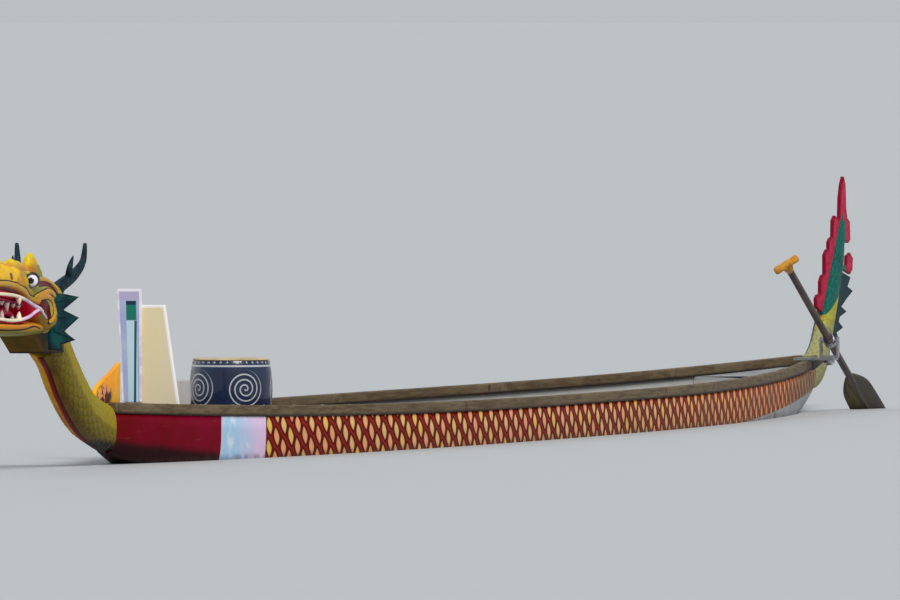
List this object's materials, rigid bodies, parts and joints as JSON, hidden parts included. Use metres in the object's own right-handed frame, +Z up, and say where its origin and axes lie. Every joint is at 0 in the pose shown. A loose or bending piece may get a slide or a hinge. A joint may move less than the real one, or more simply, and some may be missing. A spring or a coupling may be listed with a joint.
{
  "type": "dragon boat",
  "caption": "Long narrow racing paddle boat with benches, a carved dragon head and tail, a drummer's seat with a drum, and a steering oar in a swivelling oarlock.",
  "frame": {"origin": "on the centre-plane at the waterline, midway between the hull's two ends", "axes": "+X to the bow, +Y to port, +Z up"},
  "size_m": [15.444, 1.136, 1.399],
  "materials": {
    "hull_paint": "gloss gelcoat and paint: maroon bow panel, blank pale panel, red and yellow lattice along the sides",
    "rail_wood": "weathered oiled hardwood",
    "bench_wood": "worn varnished wood",
    "deck_paint": "grey non-slip gelcoat",
    "foot_metal": "scuffed aluminium tube",
    "seat_paint": "light grey paint",
    "cream_panel": "cream painted board",
    "lane_panel": "bluish white painted board with a green block and a teal stripe",
    "drum_lacquer": "dark blue lacquer with pale curls",
    "drum_hide": "stretched hide",
    "neck_paint": "olive and yellow paint on carved wood, red stripe",
    "fin_paint": "orange paint",
    "head_paint": "gloss yellow paint on carved wood with orange and dark red bands",
    "jaw_paint": "gloss orange to olive paint",
    "mouth_paint": "gloss red paint",
    "tooth_paint": "gloss white paint",
    "eye_paint": "gloss white with a dark pupil",
    "antler_paint": "dark slate paint",
    "frill_paint": "teal paint",
    "tail_paint": "green paint with yellow base",
    "tail_red_paint": "red paint",
    "bracket_steel": "brushed stainless steel",
    "shaft_finish": "dark painted wood",
    "blade_wood": "dark varnished wood",
    "grip_wood": "varnished light wood"
  },
  "bodies": {
    "hull": {"hull_bow": "hull_paint", "hull_fore": "hull_paint", "hull_middle": "hull_paint", "hull_aft": "hull_paint", "hull_stern": "hull_paint", "rail_port": "rail_wood", "rail_starboard": "rail_wood", "bench_01": "bench_wood", "bench_02": "bench_wood", "bench_03": "bench_wood", "bench_04": "bench_wood", "bench_05": "bench_wood", "bench_06": "bench_wood", "bench_07": "bench_wood", "bench_08": "bench_wood", "bench_09": "bench_wood", "bench_10": "bench_wood", "rib_01": "bench_wood", "rib_04": "bench_wood", "rib_07": "bench_wood", "rib_10": "bench_wood", "keelson_fore": "bench_wood", "keelson_middle": "bench_wood", "keelson_aft": "bench_wood", "drum_shelf": "bench_wood", "bow_deck": "deck_paint", "stern_deck": "deck_paint", "bow_bulkhead": "deck_paint", "stern_bulkhead": "deck_paint", "footrest_frame": "foot_metal", "seat_box": "seat_paint", "seat_back": "cream_panel", "lane_board": "lane_panel", "drum_shell": "drum_lacquer", "drum_skin": "drum_hide", "neck": "neck_paint", "throat_block": "neck_paint", "neck_fin": "fin_paint", "head_skull": "head_paint", "head_crest": "head_paint", "head_jaw": "jaw_paint", "tongue": "mouth_paint", "teeth_upper": "tooth_paint", "teeth_lower": "tooth_paint", "eye_port": "eye_paint", "eye_starboard": "eye_paint", "antler_port": "antler_paint", "antler_starboard": "antler_paint", "frill_port": "frill_paint", "frill_starboard": "frill_paint", "tail_spikes": "frill_paint", "tail_body": "tail_paint", "tail_fringe": "tail_red_paint", "tail_barb": "tail_red_paint", "oar_bracket": "bracket_steel"},
    "fork": {"oarlock_fork": "bracket_steel"},
    "sleeve": {"oarlock_sleeve": "bracket_steel"},
    "oar": {"oar_shaft": "shaft_finish", "oar_grip": "grip_wood", "oar_blade": "blade_wood"}
  },
  "joints": [
    {"name": "oar_sweep", "type": "hinge", "parent": "hull", "child": "fork", "pos_m": [-5.75, 0.24386, 0.35501], "axis": [0, 0, 1], "range_deg": [-45, 4]},
    {"name": "oar_dip", "type": "hinge", "parent": "fork", "child": "sleeve", "pos_m": [-5.75, 0.24386, 0.35501], "axis": [-0.0429, 0.9991, 0], "range_deg": [-14, 20]},
    {"name": "oar_twist", "type": "hinge", "parent": "sleeve", "child": "oar", "pos_m": [-5.75, 0.24386, 0.35501], "axis": [-0.9351, -0.0401, -0.3522], "range_deg": [-90, 90]}
  ]
}
